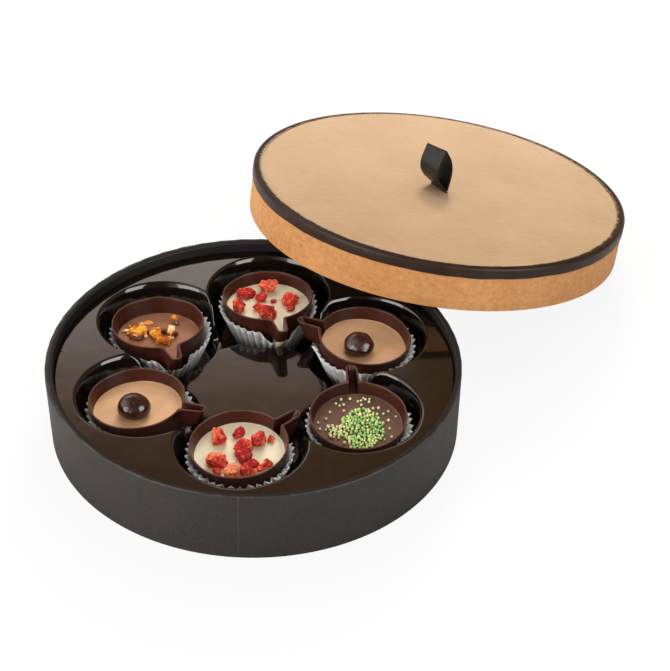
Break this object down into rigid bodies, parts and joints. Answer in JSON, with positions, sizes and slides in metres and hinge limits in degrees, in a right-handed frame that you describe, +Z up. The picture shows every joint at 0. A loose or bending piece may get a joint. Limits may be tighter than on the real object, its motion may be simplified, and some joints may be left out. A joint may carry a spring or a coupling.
{
  "type": "box of chocolates",
  "caption": "Round paper-covered gift box with a moulded tray of filled chocolate cups in pleated cases, shown open with its lid leaning on the rim.",
  "frame": {"origin": "middle of the underside of the base", "axes": "+Z up out of the open base, -Y towards the viewer of the picture; the lid leans behind and to the right"},
  "size_m": [0.2442, 0.2763, 0.0592],
  "materials": {
    "charcoal_paper": "textured matt",
    "grey_board": "matt",
    "tray_plastic": "high gloss",
    "case_paper": "semi-matt, pleated",
    "dark_chocolate": "satin",
    "cream": "satin",
    "caramel": "satin",
    "truffle": "satin",
    "milk_chocolate": "satin",
    "strawberry": "rough, freeze-dried",
    "brittle": "glassy",
    "coated_bean": "glossy",
    "sugar_pearl": "pearly",
    "kraft_board": "matt, fine fibres",
    "black_tape": "satin, worn",
    "black_ribbon": "satin weave"
  },
  "bodies": {
    "box": {"base_wall": "grey_board", "base_bottom": "grey_board", "base_wrap": "charcoal_paper", "tray": "tray_plastic"},
    "lid": {"lid_skirt": "kraft_board", "lid_top_board": "kraft_board", "lid_edging": "black_tape", "ribbon_tails": "black_ribbon"},
    "ribbon": {"ribbon_loop": "black_ribbon"},
    "case_1": {"paper_case_1": "case_paper"},
    "chocolate_1": {"chocolate_cup_1": "dark_chocolate", "filling_1": "cream", "strawberry_1_1": "strawberry", "strawberry_1_2": "strawberry", "strawberry_1_3": "strawberry", "strawberry_1_4": "strawberry", "strawberry_1_5": "strawberry", "strawberry_1_6": "strawberry", "strawberry_1_7": "strawberry", "strawberry_1_8": "strawberry", "strawberry_1_9": "strawberry"},
    "case_2": {"paper_case_2": "case_paper"},
    "chocolate_2": {"chocolate_cup_2": "dark_chocolate", "coffee_bean_2": "coated_bean", "filling_2": "caramel"},
    "case_3": {"paper_case_3": "case_paper"},
    "chocolate_3": {"chocolate_cup_3": "dark_chocolate", "filling_3": "truffle", "sugar_pearls_3": "sugar_pearl"},
    "case_4": {"paper_case_4": "case_paper"},
    "chocolate_4": {"chocolate_cup_4": "dark_chocolate", "filling_4": "cream", "strawberry_4_1": "strawberry", "strawberry_4_10": "strawberry", "strawberry_4_2": "strawberry", "strawberry_4_3": "strawberry", "strawberry_4_4": "strawberry", "strawberry_4_5": "strawberry", "strawberry_4_6": "strawberry", "strawberry_4_7": "strawberry", "strawberry_4_8": "strawberry", "strawberry_4_9": "strawberry"},
    "case_5": {"paper_case_5": "case_paper"},
    "chocolate_5": {"chocolate_cup_5": "dark_chocolate", "coffee_bean_5": "coated_bean", "filling_5": "caramel"},
    "case_6": {"paper_case_6": "case_paper"},
    "chocolate_6": {"brittle_6_1": "brittle", "brittle_6_10": "brittle", "brittle_6_2": "brittle", "brittle_6_3": "brittle", "brittle_6_4": "brittle", "brittle_6_5": "brittle", "brittle_6_6": "brittle", "brittle_6_7": "brittle", "brittle_6_8": "brittle", "brittle_6_9": "brittle", "chocolate_cup_6": "dark_chocolate", "filling_6": "milk_chocolate"}
  },
  "joints": [
    {"name": "lid_lift", "type": "slide", "parent": "box", "child": "lid", "axis": [0.4114, 0.5751, 0.7071], "range_m": [0, 0.15]},
    {"name": "ribbon_flex", "type": "hinge", "parent": "lid", "child": "ribbon", "pos_m": [0.08039, 0.1103, 0.03685], "axis": [-0.5111, 0.8557, -0.0809], "range_deg": [-38, 62], "stiffness_Nm_per_rad": 0.002},
    {"name": "case_1_lift", "type": "slide", "parent": "box", "child": "case_1", "axis": [-0.1555, -0.2173, 0.9636], "range_m": [0, 0.035]},
    {"name": "chocolate_1_lift", "type": "slide", "parent": "case_1", "child": "chocolate_1", "axis": [-0.1259, -0.176, 0.9763], "range_m": [0, 0.035]},
    {"name": "case_2_lift", "type": "slide", "parent": "box", "child": "case_2", "axis": [-0.1555, -0.2173, 0.9636], "range_m": [0, 0.035]},
    {"name": "chocolate_2_lift", "type": "slide", "parent": "case_2", "child": "chocolate_2", "axis": [-0.1259, -0.176, 0.9763], "range_m": [0, 0.035]},
    {"name": "case_3_lift", "type": "slide", "parent": "box", "child": "case_3", "axis": [-0.1555, -0.2173, 0.9636], "range_m": [0, 0.035]},
    {"name": "chocolate_3_lift", "type": "slide", "parent": "case_3", "child": "chocolate_3", "axis": [-0.1259, -0.176, 0.9763], "range_m": [0, 0.035]},
    {"name": "case_4_lift", "type": "slide", "parent": "box", "child": "case_4", "axis": [-0.1555, -0.2173, 0.9636], "range_m": [0, 0.035]},
    {"name": "chocolate_4_lift", "type": "slide", "parent": "case_4", "child": "chocolate_4", "axis": [-0.1259, -0.176, 0.9763], "range_m": [0, 0.035]},
    {"name": "case_5_lift", "type": "slide", "parent": "box", "child": "case_5", "axis": [-0.1555, -0.2173, 0.9636], "range_m": [0, 0.035]},
    {"name": "chocolate_5_lift", "type": "slide", "parent": "case_5", "child": "chocolate_5", "axis": [-0.1259, -0.176, 0.9763], "range_m": [0, 0.035]},
    {"name": "case_6_lift", "type": "slide", "parent": "box", "child": "case_6", "axis": [-0.1555, -0.2173, 0.9636], "range_m": [0, 0.035]},
    {"name": "chocolate_6_lift", "type": "slide", "parent": "case_6", "child": "chocolate_6", "axis": [-0.1259, -0.176, 0.9763], "range_m": [0, 0.035]}
  ]
}
